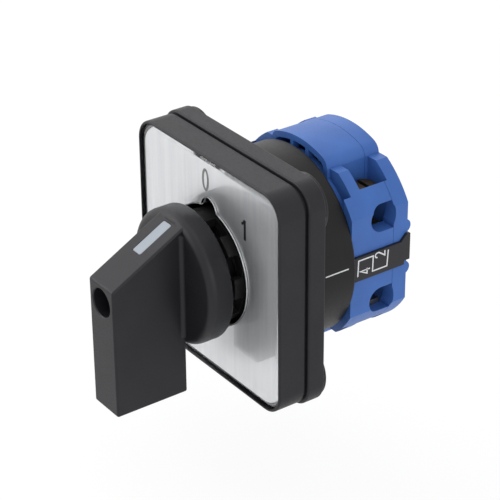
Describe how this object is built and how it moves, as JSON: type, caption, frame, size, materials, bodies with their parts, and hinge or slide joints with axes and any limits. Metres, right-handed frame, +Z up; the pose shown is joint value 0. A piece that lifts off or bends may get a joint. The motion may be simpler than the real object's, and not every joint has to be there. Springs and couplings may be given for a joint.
{
  "type": "rotary cam switch",
  "caption": "Panel-mounted rotary cam switch with a square front plate, a grip knob for positions 0 and 1, a round detent housing and one blue contact block.",
  "frame": {"origin": "on the shaft's axis, in the plane of the panel's front face, where the base plate's four pads bear", "axes": "+Y into the panel along the shaft, +Z up with the knob at 0, +X to the right of someone facing the knob"},
  "size_m": [0.048, 0.0601, 0.048],
  "materials": {
    "knob_plastic": "fine satin texture",
    "pointer_plastic": "smooth, pale",
    "plate_plastic": "satin",
    "clear_plastic": "clear, polished",
    "label_aluminium": "brushed up and down",
    "housing_plastic": "satin",
    "block_plastic": "satin, blue",
    "nylon": "smooth, natural white",
    "zinc_steel": "zinc plated",
    "spring_steel": "drawn wire",
    "contact_brass": "stamped, tinned at the tips",
    "contact_copper": "stamped copper",
    "silver_alloy": "riveted contact tips",
    "strip_plastic": "satin, white print"
  },
  "bodies": {
    "switch_body": {"clear_cover": "clear_plastic", "label_plate": "label_aluminium", "bezel_frame": "plate_plastic", "base_plate": "plate_plastic", "collar_ring": "housing_plastic", "detent_housing": "housing_plastic", "stop_pins": "zinc_steel", "detent_spring_upper": "spring_steel", "detent_spring_lower": "spring_steel", "bearing_plate": "housing_plastic", "contact_shell_front": "block_plastic", "contact_shell_rear": "block_plastic", "contact_spring_upper": "spring_steel", "contact_spring_lower": "spring_steel", "fixed_contact_1": "contact_brass", "fixed_contact_2": "contact_brass", "fixed_contact_3": "contact_brass", "fixed_contact_4": "contact_brass", "fixed_tips": "silver_alloy", "terminal_clamps": "zinc_steel", "terminal_screws": "zinc_steel", "tie_screws": "zinc_steel", "tie_nuts": "zinc_steel", "marking_strip_right": "strip_plastic", "marking_strip_left": "strip_plastic"},
    "rotor": {"knob": "knob_plastic", "pointer_insert": "pointer_plastic", "knob_screw": "zinc_steel", "retaining_ring": "spring_steel", "square_shaft": "zinc_steel", "stop_disc": "nylon", "detent_wheel": "nylon", "switching_cam": "nylon"},
    "plunger_upper_body": {"plunger_upper": "nylon", "bridge_upper": "contact_copper", "moving_tips_upper": "silver_alloy"},
    "plunger_lower_body": {"plunger_lower": "nylon", "bridge_lower": "contact_copper", "moving_tips_lower": "silver_alloy"},
    "detent_upper_body": {"detent_slide_upper": "nylon"},
    "detent_lower_body": {"detent_slide_lower": "nylon"}
  },
  "joints": [
    {"name": "knob_turn", "type": "hinge", "parent": "switch_body", "child": "rotor", "pos_m": [0, 0, 0], "axis": [0, 1, 0], "range_deg": [0, 45]},
    {"name": "plunger_upper_slide", "type": "slide", "parent": "switch_body", "child": "plunger_upper_body", "axis": [0, 0, -1], "range_m": [0, 0.002], "deforming": ["contact_spring_upper"]},
    {"name": "plunger_lower_slide", "type": "slide", "parent": "switch_body", "child": "plunger_lower_body", "axis": [0, 0, 1], "range_m": [0, 0.002], "deforming": ["contact_spring_lower"]},
    {"name": "detent_upper_slide", "type": "slide", "parent": "switch_body", "child": "detent_upper_body", "axis": [0, 0, -1], "range_m": [0, 0.0007], "stiffness_N_per_m": 800, "springref_m": 0.006, "deforming": ["detent_spring_upper"]},
    {"name": "detent_lower_slide", "type": "slide", "parent": "switch_body", "child": "detent_lower_body", "axis": [0, 0, 1], "range_m": [0, 0.0007], "stiffness_N_per_m": 800, "springref_m": 0.006, "deforming": ["detent_spring_lower"]}
  ],
  "couplings": [
    {"joint": "plunger_upper_slide", "follows": "knob_turn", "m_per_rad": 0.0025465},
    {"joint": "plunger_lower_slide", "follows": "knob_turn", "m_per_rad": 0.0025465}
  ]
}
